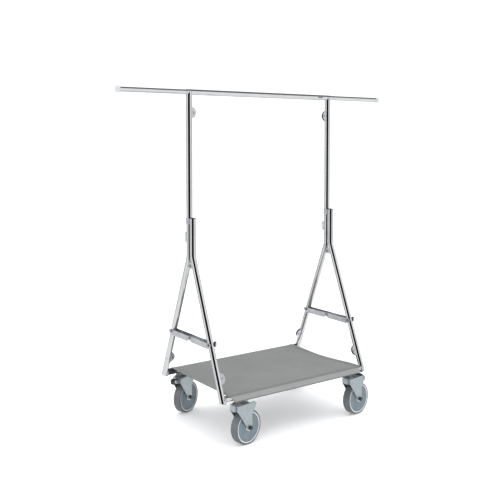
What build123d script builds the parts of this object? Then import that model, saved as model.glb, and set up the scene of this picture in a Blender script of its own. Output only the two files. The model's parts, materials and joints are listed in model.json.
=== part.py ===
from build123d import *

import os
from math import acos, atan2, cos, hypot, sin

# Rolling clothes rack. Frame: +X along the hanging rail, +Y to the rear, +Z up.
# The origin is on the floor, midway between the two side frames and the front and rear tubes.

# ---- driving dimensions (mm) ----
POST_X = 335.0  # half the distance between the two side frames
FOOT_Y = 205.0  # half the distance between the front and rear leg feet
FOOT_Z = 170.0  # underside of the legs and of the long base tubes
BEND_Z = 660.0  # where each leg turns from the upright to the slope
SLEEVE_Z = 802.0  # top of the upright part of the legs
RAIL_Z = 1263.0  # axis of the hanging rail
PIVOT_Z = 627.0  # axis about which the front frame folds

LEG_R = 11.0
LEG_BORE_R = 9.8
LEG_GAP = 0.6  # between the upright parts of the two legs
BEND_R = 60.0
SPIGOT_R = 9.5
SPIGOT_BORE_R = 8.3
SPIGOT_LENGTH = 125.0
SHOULDER_GAP = 0.3

RAIL_R = 10.0
RAIL_BORE_R = 9.0
RAIL_HALF = 348.0
BAR_R = 8.5
BAR_BORE_R = 7.5
BAR_TIP_X = 613.0
BAR_LENGTH = 332.0
CAP_R = 11.5
CAP_LENGTH = 14.0

HINGE_PLATE_R = 21.0
HINGE_PLATE_INSET = 6.0  # from the tube's axis to the plate's centre
HINGE_RIVET_INSET = 18.0
LEG_HINGE_Z = 247.0
POST_HINGE_Z = 1188.0

SPREADER_Z = 361.0  # height of the spreader pivots
LINK_TOP = 7.0
LINK_BOTTOM = 14.0
LINK_WALL = 1.5
LINK_INNER_X = 11.4  # inner face of the flanges that straddle a leg
TONGUE_X = 10.9  # outer face of the narrower front link
WEB_CUT_BACK = 45.0  # web ends this far from the middle hinge
LINK_PAST_PIVOT = 13.0
BOLT_R = 3.0
RUNNING_CLEARANCE = 0.06

KNOB_Z = 731.0

WHEEL_R = 62.5
WHEEL_WIDTH = 32.0
TYRE_DEPTH = 6.5
RIM_WALL = 3.5
TRAIL = 42.0
CASTER_X = 269.0
FORK_TOP_Z = 153.0
FORK_HALF_WIDTH = 22.0
FORK_WALL = 3.0
RACE_R = 19.0
NOSE_DEPTH = 23.0
RACE_TOP_Z = 157.5
STEM_R = 13.0
KINGPIN_R = 5.0
AXLE_R = 4.0
FORK_END_R = 11.0
BRAKE_PIN_R = 2.0
BRAKE_PIN_X = 66.0
BRAKE_PIN_Z = 144.0
CASTER_YAW = {"front_left": 10.0, "front_right": 8.0, "rear_left": 22.0, "rear_right": 10.0}
BRAKED = ("front_right", "rear_left")

FABRIC_HALF_X = 306.0
FABRIC_THICKNESS = 2.5

# ---- worked-out places ----
UPRIGHT_Y = LEG_R + LEG_GAP / 2
SLOPE = atan2(FOOT_Y - UPRIGHT_Y, BEND_Z - FOOT_Z)
TUBE_Z = FOOT_Z + LEG_R
SIDES = {"left": -1, "right": 1}
ENDS = {"front": -1, "rear": 1}


def leg_y(z):
    """Distance of a leg's axis from the middle plane at height z, below the bend."""
    return UPRIGHT_Y + (BEND_Z - z) * (FOOT_Y - UPRIGHT_Y) / (BEND_Z - FOOT_Z)


TUBE_Y = leg_y(TUBE_Z)
SPREADER_Y = leg_y(SPREADER_Z)


def x_cylinder(radius, x_low, x_high, y, z):
    """Solid cylinder along X."""
    middle = (x_low + x_high) / 2
    return Pos(middle, y, z) * Rot(0, 90, 0) * Cylinder(radius, x_high - x_low)


def y_cylinder(radius, x, y_low, y_high, z):
    """Solid cylinder along Y."""
    return Pos(x, (y_low + y_high) / 2, z) * Rot(90, 0, 0) * Cylinder(radius, y_high - y_low)


def z_cylinder(radius, x, y, z_low, z_high):
    """Solid cylinder along Z."""
    return Pos(x, y, (z_low + z_high) / 2) * Cylinder(radius, z_high - z_low)


def block(x_range, y_range, z_range):
    """Box between three pairs of limits."""
    middle = [(low + high) / 2 for low, high in (x_range, y_range, z_range)]
    size = [high - low for low, high in (x_range, y_range, z_range)]
    return Pos(*middle) * Box(*size)


def plate_yz(outline, x_low, x_high):
    """Plate whose outline is given as (y, z) points."""
    face = make_face(Polyline(*[(x_low, y, z) for y, z in outline], close=True))
    return extrude(face, x_high - x_low, dir=(1, 0, 0))


def write(name, *solids):
    """Write one node as parts/NAME.step."""
    flat = [s for item in solids for s in item.solids()]
    shape = flat[0] if len(flat) == 1 else Compound(children=flat)
    export_step(shape, f"parts/{name}.step")


# ---- legs, base tubes and side brackets ----
def leg_sweep(x, end, radius):
    """Solid bent rod of one leg, from the top of the upright to below the foot."""
    low_z = FOOT_Z - 20
    path = FilletPolyline(
        (x, end * UPRIGHT_Y, SLEEVE_Z),
        (x, end * UPRIGHT_Y, BEND_Z),
        (x, end * leg_y(low_z), low_z),
        radius=BEND_R,
    )
    section = Plane(origin=path @ 0, z_dir=path % 0) * Circle(radius)
    rod = sweep(section, path=path)
    return rod - block((x - 30, x + 30), (-300, 300), (0, FOOT_Z))


def make_leg(x, end):
    """Bent leg tube with its through holes."""
    leg = leg_sweep(x, end, LEG_R) - leg_sweep(x, end, LEG_BORE_R)
    leg -= x_cylinder(BOLT_R, x - 20, x + 20, end * SPREADER_Y, SPREADER_Z)
    if end > 0:
        leg -= y_cylinder(BOLT_R + RUNNING_CLEARANCE, x, UPRIGHT_Y, UPRIGHT_Y + 20, KNOB_Z)
    return leg


def split_leg(leg, x, end):
    """Saw a leg square through at its sideways hinge, giving the long part and the stub."""
    up_leg = (0, -end * sin(SLOPE), cos(SLOPE))
    cut = Plane(origin=(x, end * leg_y(LEG_HINGE_Z), LEG_HINGE_Z), z_dir=up_leg)
    above = cut * Pos(0, 0, 500.2) * Box(200, 900, 1000)
    below = cut * Pos(0, 0, -499.8) * Box(200, 900, 999.2)
    return leg & above, leg & below


def make_base_tube(end):
    """Long tube between the feet of one frame."""
    reach = POST_X - LEG_R - 3
    solid = x_cylinder(LEG_R, -reach, reach, end * TUBE_Y, TUBE_Z)
    return solid - x_cylinder(LEG_BORE_R, -reach, reach, end * TUBE_Y, TUBE_Z)


def make_corner_bracket(side, end):
    """Saddle on the inner side of a foot with a plug into the base tube."""
    x = side * POST_X
    half = LEG_R + 1.2
    low, high = FOOT_Z - 4, FOOT_Z + 14
    y = end * leg_y((low + high) / 2)
    strap = block((x - half, x + half), (y - half + 1, y + half - 1), (low, high))
    strap = fillet(strap.edges().filter_by(Axis.Z), 4)
    strap -= block(sorted((x - side * 2, x + side * 40)), (y - 40, y + 40), (low - 1, high + 1))
    inner = side * (POST_X - LEG_R - 3)
    limits = sorted((inner, inner - side * 22))
    plug = x_cylinder(LEG_BORE_R, *limits, end * TUBE_Y, TUBE_Z)
    bridge = x_cylinder(LEG_R, *sorted((inner, x)), end * TUBE_Y, TUBE_Z)
    return strap + bridge + plug - leg_sweep(x, end, LEG_R)


def half_moon(radius, inset, thickness, offset):
    """Disc beside a tube on the local Z axis, kept only on the local +X side."""
    disc = Pos(inset, offset, 0) * Rot(90, 0, 0) * Cylinder(radius, thickness)
    return disc - block((-60, 0), (-60, 60), (-60, 60))


def make_tube_hinge(tube):
    """Two cheek plates, the leaf between them and the hinge rivet, in a local frame.

    The tube runs along local Z and the plates bulge towards local +X.
    """
    hole = Pos(HINGE_RIVET_INSET, 0, 0) * Rot(90, 0, 0) * Cylinder(2.6, 30)
    cheeks = [half_moon(HINGE_PLATE_R, HINGE_PLATE_INSET, 2.0, offset) for offset in (-4.6, 4.6)]
    leaf = half_moon(HINGE_PLATE_R - 3, HINGE_PLATE_INSET, 6.4, 0)
    plates = [plate - tube - hole for plate in (*cheeks, leaf)]
    rivet = Pos(HINGE_RIVET_INSET, 0, 0) * Rot(90, 0, 0) * Cylinder(2.6, 14)
    heads = [
        Pos(HINGE_RIVET_INSET, offset, 0) * Rot(90, 0, 0) * Cylinder(4.2, 1.4)
        for offset in (-6.3, 6.3)
    ]
    return plates, rivet + heads[0] + heads[1]


def leg_hinge_location(side, end):
    """Frame at the leg's axis: local X towards the middle, local Z up the leg."""
    origin = (side * POST_X, end * leg_y(LEG_HINGE_Z), LEG_HINGE_Z)
    up_leg = (0, -end * sin(SLOPE), cos(SLOPE))
    return Plane(origin=origin, x_dir=(-side, 0, 0), z_dir=up_leg)


def post_hinge_location(side):
    """Frame at the post's axis: local X towards the middle, local Z up."""
    return Plane(origin=(side * POST_X, UPRIGHT_Y, POST_HINGE_Z), x_dir=(-side, 0, 0), z_dir=(0, 0, 1))


def make_hinges(frames):
    """Plates and rivets of several hinges, as two lists."""
    rod = Cylinder(LEG_R, 80)
    plates, rivet = make_tube_hinge(rod)
    all_plates = [frame.location * plate for frame in frames for plate in plates]
    all_rivets = [frame.location * rivet for frame in frames]
    return all_plates, all_rivets


def make_apex_plate(side, end, x_offsets):
    """Plate from a leg to the fold axis, with the pivot hole."""
    x = side * POST_X
    along = (end * sin(SLOPE), -cos(SLOPE))
    across = (end * cos(SLOPE), sin(SLOPE))
    reach = leg_y(PIVOT_Z) * cos(SLOPE)

    def point(s, t):
        return (s * along[0] + t * across[0], PIVOT_Z + s * along[1] + t * across[1])

    outline = [point(-9, 0), point(9, 0), point(20, reach), point(-11, reach)]
    low, high = x + x_offsets[0], x + x_offsets[1]
    plate = plate_yz(outline, low, high) + x_cylinder(9, low, high, 0, PIVOT_Z)
    return plate - leg_sweep(x, end, LEG_R)


def make_apex_lug(side):
    """Rear leg's half of the fold hinge."""
    x = side * POST_X
    lug = make_apex_plate(side, 1, (-4, 4))
    return lug - x_cylinder(BOLT_R + RUNNING_CLEARANCE, x - 10, x + 10, 0, PIVOT_Z)


def make_apex_clevis(side):
    """Front leg's half of the fold hinge: two cheeks."""
    x = side * POST_X
    cheeks = [make_apex_plate(side, -1, (low, low + 3)) for low in (-7.3, 4.3)]
    return [cheek - x_cylinder(BOLT_R, x - 10, x + 10, 0, PIVOT_Z) for cheek in cheeks]


def make_through_bolt(x, y, z, half_length, head_r=6.0, head=2.6):
    """Bolt along X with a head and a nut, both under half_length + head from its middle."""
    bolt = x_cylinder(BOLT_R, x - half_length, x + half_length, y, z)
    for sign in (-1, 1):
        low, high = sorted((x + sign * half_length, x + sign * (half_length + head)))
        bolt += x_cylinder(head_r, low, high, y, z)
    return bolt


def make_collar(side):
    """Open plastic collar round the mouth of the sleeve, clear of the front leg."""
    x = side * POST_X
    low, high = SLEEVE_Z - 22, SLEEVE_Z
    ring = z_cylinder(LEG_R + 2.2, x, UPRIGHT_Y, low, high)
    ring -= z_cylinder(LEG_R, x, UPRIGHT_Y, low, high)
    return ring - block((x - 30, x + 30), (-30, 1.2), (low - 1, high + 1))


def make_boss(side):
    """Threaded boss for the lock knob, on the rear of the sleeve."""
    x = side * POST_X
    boss = y_cylinder(6.5, x, UPRIGHT_Y + 8, UPRIGHT_Y + LEG_R + 4, KNOB_Z)
    boss -= z_cylinder(LEG_R, x, UPRIGHT_Y, KNOB_Z - 20, KNOB_Z + 20)
    return boss - y_cylinder(BOLT_R + RUNNING_CLEARANCE, x, UPRIGHT_Y, UPRIGHT_Y + 30, KNOB_Z)


def make_knob(side):
    """Wing knob with its screw, standing upright behind the sleeve."""
    x = side * POST_X
    start = UPRIGHT_Y + LEG_R + 4.4
    screw = y_cylinder(BOLT_R, x, UPRIGHT_Y + SPIGOT_R + 0.4, start + 4, KNOB_Z)
    hub = y_cylinder(7, x, start, start + 9, KNOB_Z)
    wing = block((x - 4, x + 4), (start + 2, start + 15), (KNOB_Z - 19, KNOB_Z + 19))
    wing = fillet(wing.edges().filter_by(Axis.X), 6)
    wing = fillet(wing.edges(), 1.2)
    return screw + hub + wing


# ---- top frame ----
def make_post(side):
    """Post with a reduced spigot that drops into the sleeve of the rear leg."""
    x = side * POST_X
    foot = SLEEVE_Z + SHOULDER_GAP
    post = z_cylinder(LEG_R, x, UPRIGHT_Y, foot, RAIL_Z)
    post -= z_cylinder(LEG_BORE_R, x, UPRIGHT_Y, foot + 3, RAIL_Z)
    post += z_cylinder(SPIGOT_R, x, UPRIGHT_Y, SLEEVE_Z - SPIGOT_LENGTH, foot)
    post -= z_cylinder(SPIGOT_BORE_R, x, UPRIGHT_Y, SLEEVE_Z - SPIGOT_LENGTH, foot + 3)
    return post - x_cylinder(RAIL_R, x - 20, x + 20, UPRIGHT_Y, RAIL_Z)


def make_rail():
    """Outer tube of the hanging rail, with the slot of the stop."""
    rail = x_cylinder(RAIL_R, -RAIL_HALF, RAIL_HALF, UPRIGHT_Y, RAIL_Z)
    rail -= x_cylinder(RAIL_BORE_R, -RAIL_HALF, RAIL_HALF, UPRIGHT_Y, RAIL_Z)
    return rail - make_stop_shape(0)


def make_stop_shape(gap):
    """Rounded bar through the front wall of the rail near its right end."""
    y = UPRIGHT_Y - (RAIL_R + RAIL_BORE_R) / 2
    bar = block((276 + gap, 300 - gap), (y - 0.9, y + 0.35), (RAIL_Z - 1.8 + gap, RAIL_Z + 1.8 - gap))
    return fillet(bar.edges().filter_by(Axis.Y), 1.5)


def make_bar(side):
    """Telescopic bar at one end of the rail."""
    tip = side * BAR_TIP_X
    limits = sorted((tip, tip - side * BAR_LENGTH))
    bar = x_cylinder(BAR_R, *limits, UPRIGHT_Y, RAIL_Z)
    return bar - x_cylinder(BAR_BORE_R, *limits, UPRIGHT_Y, RAIL_Z)


def make_cap(side):
    """Round stopper on a bar, with a plug inside the tube."""
    tip = side * BAR_TIP_X
    knob = x_cylinder(CAP_R, *sorted((tip, tip + side * CAP_LENGTH)), UPRIGHT_Y, RAIL_Z)
    knob = fillet(knob.edges(), 4.5)
    plug = x_cylinder(BAR_BORE_R, *sorted((tip - side * 12, tip + side * 2)), UPRIGHT_Y, RAIL_Z)
    return knob + plug


# ---- spreader ----
def link_outline(end, past, to_middle):
    """Side of a link as (y, z) points, from beyond its leg to the middle hinge."""
    y = end * SPREADER_Y
    top, bottom = SPREADER_Z + LINK_TOP, SPREADER_Z - LINK_BOTTOM
    return [
        (y + end * past, top),
        (end * to_middle, top),
        (end * to_middle, SPREADER_Z - LINK_TOP),
        (end * (to_middle + 12), bottom),
        (y - end * 2, bottom),
        (y + end * past, SPREADER_Z - 4),
    ]


def make_rear_link(side):
    """Wide channel link, open upwards, hinged on the rear leg."""
    x = side * POST_X
    outer = LINK_INNER_X + LINK_WALL
    link = None
    for sign in (-1, 1):
        low, high = sorted((x + sign * LINK_INNER_X, x + sign * outer))
        flange = plate_yz(link_outline(1, LINK_PAST_PIVOT, 0), low, high)
        flange += x_cylinder(LINK_TOP, low, high, 0, SPREADER_Z)
        link = flange if link is None else link + flange
    web_z = SPREADER_Z - LINK_BOTTOM
    link += block((x - outer, x + outer), (WEB_CUT_BACK, SPREADER_Y - 10), (web_z, web_z + LINK_WALL))
    return link - x_cylinder(BOLT_R + RUNNING_CLEARANCE, x - 20, x + 20, SPREADER_Y, SPREADER_Z)


def make_front_link(side):
    """Narrow channel link with two fork plates that straddle the front leg."""
    x = side * POST_X
    y = -SPREADER_Y
    web_z = SPREADER_Z - LINK_BOTTOM
    fork_start = y + 62
    link = block(
        (x - TONGUE_X, x + TONGUE_X), (y + 16, -WEB_CUT_BACK), (web_z, web_z + LINK_WALL)
    )
    for sign in (-1, 1):
        low, high = sorted((x + sign * TONGUE_X, x + sign * (TONGUE_X - LINK_WALL)))
        tongue = plate_yz(link_outline(-1, LINK_PAST_PIVOT, 0), low, high)
        tongue += x_cylinder(LINK_TOP, low, high, 0, SPREADER_Z)
        tongue -= block((x - 20, x + 20), (y - 30, y + 36), (SPREADER_Z - 30, SPREADER_Z + 30))
        low, high = sorted((x + sign * LINK_INNER_X, x + sign * (LINK_INNER_X + LINK_WALL)))
        fork = plate_yz(link_outline(-1, LINK_PAST_PIVOT, 0), low, high)
        fork &= block((x - 20, x + 20), (y - 30, fork_start), (SPREADER_Z - 30, SPREADER_Z + 30))
        low, high = sorted((x + sign * TONGUE_X, x + sign * LINK_INNER_X))
        pad = block((low, high), (y + 38, fork_start), (web_z + 2, SPREADER_Z + LINK_TOP - 2))
        link += tongue + fork + pad
    return link - x_cylinder(BOLT_R + RUNNING_CLEARANCE, x - 20, x + 20, y, SPREADER_Z)


def make_middle_rivets(side):
    """Heads of the middle hinge, on the outer faces of the rear link."""
    outer = LINK_INNER_X + LINK_WALL
    x = side * POST_X
    return [
        x_cylinder(4.5, *sorted((x + s * outer, x + s * (outer + 1.8))), 0, SPREADER_Z)
        for s in (-1, 1)
    ]


# ---- shelf ----
def make_fabric():
    """Cloth shelf as a thin slab with a lip hanging over each base tube."""
    low = TUBE_Z + LEG_R + 0.8
    high = low + FABRIC_THICKNESS
    reach = TUBE_Y + LEG_R + 0.8
    outer = block((-FABRIC_HALF_X, FABRIC_HALF_X), (-reach - 2.5, reach + 2.5), (FOOT_Z + 6, high))
    outer = fillet(outer.edges().filter_by(Axis.X).sort_by(Axis.Z)[-2:], 2)
    return outer - block((-400, 400), (-reach, reach), (FOOT_Z, low))


# ---- casters, built about the swivel axis with the wheel trailing towards +X ----
def fork_profile():
    """Side of the fork as a flat face, with local X trailing and local Y up."""
    crown = (-16, FORK_TOP_Z - NOSE_DEPTH)
    away_x, away_z = crown[0] - TRAIL, crown[1] - WHEEL_R
    lean = atan2(away_z, away_x) + acos(FORK_END_R / hypot(away_x, away_z))
    left = (TRAIL + FORK_END_R * cos(lean), WHEEL_R + FORK_END_R * sin(lean))
    right = (TRAIL + FORK_END_R, WHEEL_R)
    bottom = (TRAIL, WHEEL_R - FORK_END_R)
    sides = Polyline(
        left,
        crown,
        (-16, FORK_TOP_Z),
        (66, FORK_TOP_Z),
        (75, FORK_TOP_Z - 6),
        (75, FORK_TOP_Z - 14),
        (59, FORK_TOP_Z - 34),
        (TRAIL + FORK_END_R, FORK_TOP_Z - 45),
        right,
    )
    return make_face(sides + ThreePointArc(right, bottom, left))


def make_fork():
    """Pressed fork: a crown and two tapering sides with ears for the brake pin."""
    solid = extrude(Plane.XZ * fork_profile(), 2 * FORK_HALF_WIDTH)
    solid = Pos(0, FORK_HALF_WIDTH, 0) * solid
    top = solid.edges().filter_by(Axis.X).group_by(Axis.Z)[-1]
    solid = fillet(top, 2.5)
    nose = z_cylinder(FORK_HALF_WIDTH, 0, 0, FORK_TOP_Z - NOSE_DEPTH, FORK_TOP_Z)
    solid += fillet(nose.edges().group_by(Axis.Z)[-1], 2.5)
    inside = FORK_HALF_WIDTH - FORK_WALL
    solid -= block((-10, 200), (-inside, inside), (0, FORK_TOP_Z - FORK_WALL))
    solid -= block((-60, 200), (-inside, inside), (0, FORK_TOP_Z - NOSE_DEPTH))
    solid -= block((44, 200), (-inside, inside), (0, 200))
    solid -= z_cylinder(KINGPIN_R + RUNNING_CLEARANCE, 0, 0, FORK_TOP_Z - 10, FORK_TOP_Z + 10)
    solid -= y_cylinder(BRAKE_PIN_R + RUNNING_CLEARANCE, BRAKE_PIN_X, -30, 30, BRAKE_PIN_Z)
    return solid - y_cylinder(AXLE_R, TRAIL, -30, 30, WHEEL_R)


def make_axle():
    """Axle bolt with its hexagonal head and nut outside the fork."""
    reach = FORK_HALF_WIDTH
    axle = y_cylinder(AXLE_R, TRAIL, -reach, reach, WHEEL_R)
    hexagon = extrude(Plane.XZ * Pos(TRAIL, WHEEL_R) * RegularPolygon(7.0, 6), 4)
    return axle + Pos(0, -reach, 0) * hexagon + Pos(0, reach + 4, 0) * hexagon


def make_tyre():
    """Grey tyre with a rounded tread."""
    half = WHEEL_WIDTH / 2
    outer = fillet(y_cylinder(WHEEL_R, TRAIL, -half, half, WHEEL_R).edges(), 4)
    return outer - y_cylinder(WHEEL_R - TYRE_DEPTH, TRAIL, -half, half, WHEEL_R)


def make_hub():
    """Wheel centre: rim, dished web and bearing boss."""
    half = WHEEL_WIDTH / 2
    rim_r = WHEEL_R - TYRE_DEPTH
    rim = y_cylinder(rim_r, TRAIL, -half + 1, half - 1, WHEEL_R)
    rim -= y_cylinder(rim_r - RIM_WALL, TRAIL, -half, half, WHEEL_R)
    web = y_cylinder(rim_r - RIM_WALL, TRAIL, -half + 5, half - 5, WHEEL_R)
    reach = FORK_HALF_WIDTH - FORK_WALL - 0.5
    boss = y_cylinder(13, TRAIL, -reach, reach, WHEEL_R)
    return rim + web + boss - y_cylinder(AXLE_R + RUNNING_CLEARANCE, TRAIL, -30, 30, WHEEL_R)


def make_stem():
    """Fixed upper part of a caster: spacer, ball race cover and riveted kingpin."""
    race = fillet(z_cylinder(RACE_R, 0, 0, FORK_TOP_Z + 0.4, RACE_TOP_Z).edges().group_by(Axis.Z)[-1], 3)
    spacer = z_cylinder(STEM_R, 0, 0, RACE_TOP_Z, FOOT_Z + 4)
    pin = z_cylinder(KINGPIN_R, 0, 0, FORK_TOP_Z - FORK_WALL - 0.4, RACE_TOP_Z)
    rivet = z_cylinder(9, 0, 0, FORK_TOP_Z - FORK_WALL - 3.2, FORK_TOP_Z - FORK_WALL - 0.4)
    return race + spacer + pin + rivet


def make_brake():
    """Foot pedal of the wheel brake with its pin through the ears of the fork."""
    half = 13
    outline = [(62, 139), (57, 147), (49, 154.5), (46, 158), (49, 161), (58, 160.5), (66, 155)]
    outline += [(76, 149), (84, 138), (85, 128), (79, 127), (77, 137), (70, 140)]
    face = make_face(Polyline(*[(x, -half, z) for x, z in outline], close=True))
    pedal = extrude(face, 2 * half, dir=(0, 1, 0))
    pin = y_cylinder(BRAKE_PIN_R, BRAKE_PIN_X, -FORK_HALF_WIDTH - 1, FORK_HALF_WIDTH + 1, BRAKE_PIN_Z)
    return pedal + pin


def place_caster(corner, shape):
    """Move a caster piece from the swivel frame to its corner."""
    end_name, side_name = corner.split("_")
    x, y = SIDES[side_name] * CASTER_X, ENDS[end_name] * TUBE_Y
    return Pos(x, y, 0) * Rot(0, 0, CASTER_YAW[corner]) * shape


def main():
    """Build every node and write it."""
    os.makedirs("parts", exist_ok=True)

    for end_name, end in ENDS.items():
        stubs = []
        for side_name, side in SIDES.items():
            x = side * POST_X
            leg, stub = split_leg(make_leg(x, end), x, end)
            write(f"{end_name}_leg_{side_name}", leg)
            stubs.append(stub)
        write(f"{end_name}_leg_stubs", *stubs)
        stems = []
        for side_name in SIDES:
            stem = place_caster(f"{end_name}_{side_name}", make_stem())
            bore = x_cylinder(LEG_R, -400, 400, end * TUBE_Y, TUBE_Z)
            stems.append(stem - bore)
        write(f"{end_name}_base_tube", make_base_tube(end))
        write(f"{end_name}_caster_stems", *stems)
        write(f"{end_name}_corner_brackets", *[make_corner_bracket(s, end) for s in SIDES.values()])
        plates, rivets = make_hinges([leg_hinge_location(s, end) for s in SIDES.values()])
        write(f"{end_name}_leg_hinges", *plates)
        write(f"{end_name}_hinge_rivets", *rivets)
        bolts = [
            make_through_bolt(s * POST_X, end * SPREADER_Y, SPREADER_Z, LINK_INNER_X + LINK_WALL + 0.4)
            for s in SIDES.values()
        ]
        write(f"{end_name}_spreader_bolts", *bolts)

    write("apex_lugs", *[make_apex_lug(s) for s in SIDES.values()])
    write("apex_clevises", *[c for s in SIDES.values() for c in make_apex_clevis(s)])
    write("apex_bolts", *[make_through_bolt(s * POST_X, 0, PIVOT_Z, 7.3) for s in SIDES.values()])
    write("sleeve_collars", *[make_collar(s) for s in SIDES.values()])
    write("clamp_bosses", *[make_boss(s) for s in SIDES.values()])

    plates, rivets = make_hinges([post_hinge_location(s) for s in SIDES.values()])
    write("post_hinges", *plates)
    write("post_hinge_rivets", *rivets)
    write("rail_tube", make_rail())
    write("rail_stop", make_stop_shape(0.1))
    for side_name, side in SIDES.items():
        write(f"post_{side_name}", make_post(side))
        write(f"rail_bar_{side_name}", make_bar(side))
        write(f"rail_cap_{side_name}", make_cap(side))
        write(f"lock_knob_{side_name}", make_knob(side))
        write(f"spreader_rear_{side_name}", make_rear_link(side))
        write(f"spreader_front_{side_name}", make_front_link(side))
        write(f"spreader_rivets_{side_name}", *make_middle_rivets(side))

    write("shelf_fabric", make_fabric())

    pieces = {"fork": make_fork(), "axle": make_axle(), "tyre": make_tyre(), "hub": make_hub()}
    for corner in CASTER_YAW:
        for name, shape in pieces.items():
            write(f"caster_{name}_{corner}", place_caster(corner, shape))
    for corner in BRAKED:
        write(f"brake_pedal_{corner}", place_caster(corner, make_brake()))


main()
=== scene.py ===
"""Looks of a rolling clothes rack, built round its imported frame."""

import json
import logging
from collections.abc import Callable, Iterator
from contextlib import contextmanager
from dataclasses import dataclass, field
from enum import Enum
from math import atan2, cos, pi, radians, sin

import bmesh
import bpy
from mathutils import Matrix, Vector


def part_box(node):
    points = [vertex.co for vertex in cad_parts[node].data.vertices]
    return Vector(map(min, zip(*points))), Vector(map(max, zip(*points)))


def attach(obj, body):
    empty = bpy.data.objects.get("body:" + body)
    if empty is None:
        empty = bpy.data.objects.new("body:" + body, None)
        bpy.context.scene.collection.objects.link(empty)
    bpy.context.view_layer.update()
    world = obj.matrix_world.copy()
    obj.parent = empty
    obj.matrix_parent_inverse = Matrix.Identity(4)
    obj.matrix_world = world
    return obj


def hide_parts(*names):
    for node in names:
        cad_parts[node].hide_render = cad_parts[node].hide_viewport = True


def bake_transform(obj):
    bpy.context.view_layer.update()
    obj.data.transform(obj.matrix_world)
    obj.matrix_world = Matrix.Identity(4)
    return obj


log = logging.getLogger("clothes_rack")

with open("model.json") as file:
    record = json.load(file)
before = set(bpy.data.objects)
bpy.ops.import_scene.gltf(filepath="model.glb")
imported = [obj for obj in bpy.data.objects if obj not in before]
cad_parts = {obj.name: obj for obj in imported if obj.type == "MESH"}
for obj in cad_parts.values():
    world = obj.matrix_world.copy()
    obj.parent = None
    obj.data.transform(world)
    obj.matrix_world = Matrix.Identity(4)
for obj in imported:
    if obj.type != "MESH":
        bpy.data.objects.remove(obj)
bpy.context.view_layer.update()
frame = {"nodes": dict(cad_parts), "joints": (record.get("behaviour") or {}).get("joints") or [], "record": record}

# A face looks along an axis when its normal's share of that axis is above this.
FACING = 0.9


# ---------------- materials


class Shader(Enum):
    """Where a node of a material comes from."""

    SURFACE = "ShaderNodeBsdfPrincipled"
    OUTPUT = "ShaderNodeOutputMaterial"
    PLACE = "ShaderNodeTexCoord"
    SCALE = "ShaderNodeMapping"
    NOISE = "ShaderNodeTexNoise"
    WAVE = "ShaderNodeTexWave"
    RAMP = "ShaderNodeValToRGB"
    BUMP = "ShaderNodeBump"
    MATHS = "ShaderNodeMath"
    MIX = "ShaderNodeMixRGB"
    CELLS = "ShaderNodeTexVoronoi"
    VECTOR = "ShaderNodeVectorMath"
    RANGE = "ShaderNodeMapRange"
    RAY = "ShaderNodeLightPath"
    GLOW = "ShaderNodeBackground"
    SKY = "ShaderNodeOutputWorld"


def linear(colour: str) -> tuple[float, float, float, float]:
    """Turn an sRGB hex colour into linear values.

    Args:
        colour: Six hex digits after a hash sign.

    Returns:
        Red, green, blue and an alpha of one.
    """
    parts = [int(colour[i : i + 2], 16) / 255 for i in (1, 3, 5)]
    red, green, blue = (c / 12.92 if c <= 0.04045 else ((c + 0.055) / 1.055) ** 2.4 for c in parts)
    return red, green, blue, 1.0


def add_node(
    tree: bpy.types.NodeTree,
    kind: Shader,
    settings: dict[str | int, object] | None = None,
    links: dict[str | int, bpy.types.NodeSocket] | None = None,
) -> bpy.types.Node:
    """Add one node with its settings and its incoming links.

    Args:
        tree: The tree that gets the node.
        kind: The node's type.
        settings: Socket values, or attributes when no socket has that name.
        links: Input name or number to the output that feeds it.

    Returns:
        The new node.
    """
    node = tree.nodes.new(kind.value)
    for name, value in (settings or {}).items():
        if isinstance(name, int) or name in node.inputs:
            node.inputs[name].default_value = value
        else:
            setattr(node, name, value)
    for name, source in (links or {}).items():
        tree.links.new(source, node.inputs[name])
    return node


def shade_ramp(
    pattern: bpy.types.NodeSocket, low: str, high: str, start: float, stop: float
) -> bpy.types.NodeSocket:
    """Spread two colours over a pattern.

    Args:
        pattern: The pattern's output.
        low: Colour at the start.
        high: Colour at the end.
        start: Where the low colour ends.
        stop: Where the high colour begins.

    Returns:
        The coloured output.
    """
    node = add_node(pattern.id_data, Shader.RAMP, links={"Fac": pattern})
    first, last = node.color_ramp.elements[0], node.color_ramp.elements[1]
    first.position, last.position = start, stop
    first.color, last.color = linear(low), linear(high)
    return node.outputs["Color"]


def close_material(
    height: bpy.types.NodeSocket,
    relief: tuple[float, float],
    settings: dict[str | int, object],
    links: dict[str | int, bpy.types.NodeSocket],
) -> None:
    """End a material with its relief, its surface and its output.

    Args:
        height: The pattern that stands out.
        relief: Strength of the relief and its height in metres.
        settings: Values of the surface.
        links: Inputs of the surface and the outputs that feed them.
    """
    tree = height.id_data
    strength, distance = relief
    bump = add_node(tree, Shader.BUMP, {"Strength": strength, "Distance": distance}, {"Height": height})
    surface = add_node(tree, Shader.SURFACE, settings, {**links, "Normal": bump.outputs["Normal"]})
    add_node(tree, Shader.OUTPUT, links={"Surface": surface.outputs["BSDF"]})


def grey(level: float) -> str:
    """Find the neutral grey that a ramp turns back into a given value.

    Args:
        level: The linear value.

    Returns:
        The grey's hex colour.
    """
    value = 12.92 * level if level <= 0.0031308 else 1.055 * level ** (1 / 2.4) - 0.055
    digits = f"{round(value * 255):02x}"
    return "#" + digits * 3


def blank_material(name: str) -> tuple[bpy.types.Material, bpy.types.NodeTree]:
    """Start a material with an empty tree.

    Args:
        name: The material's name.

    Returns:
        The material and its node tree.
    """
    material = bpy.data.materials.new(name)
    material.use_nodes = True
    material.node_tree.nodes.clear()
    return material, material.node_tree


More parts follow.
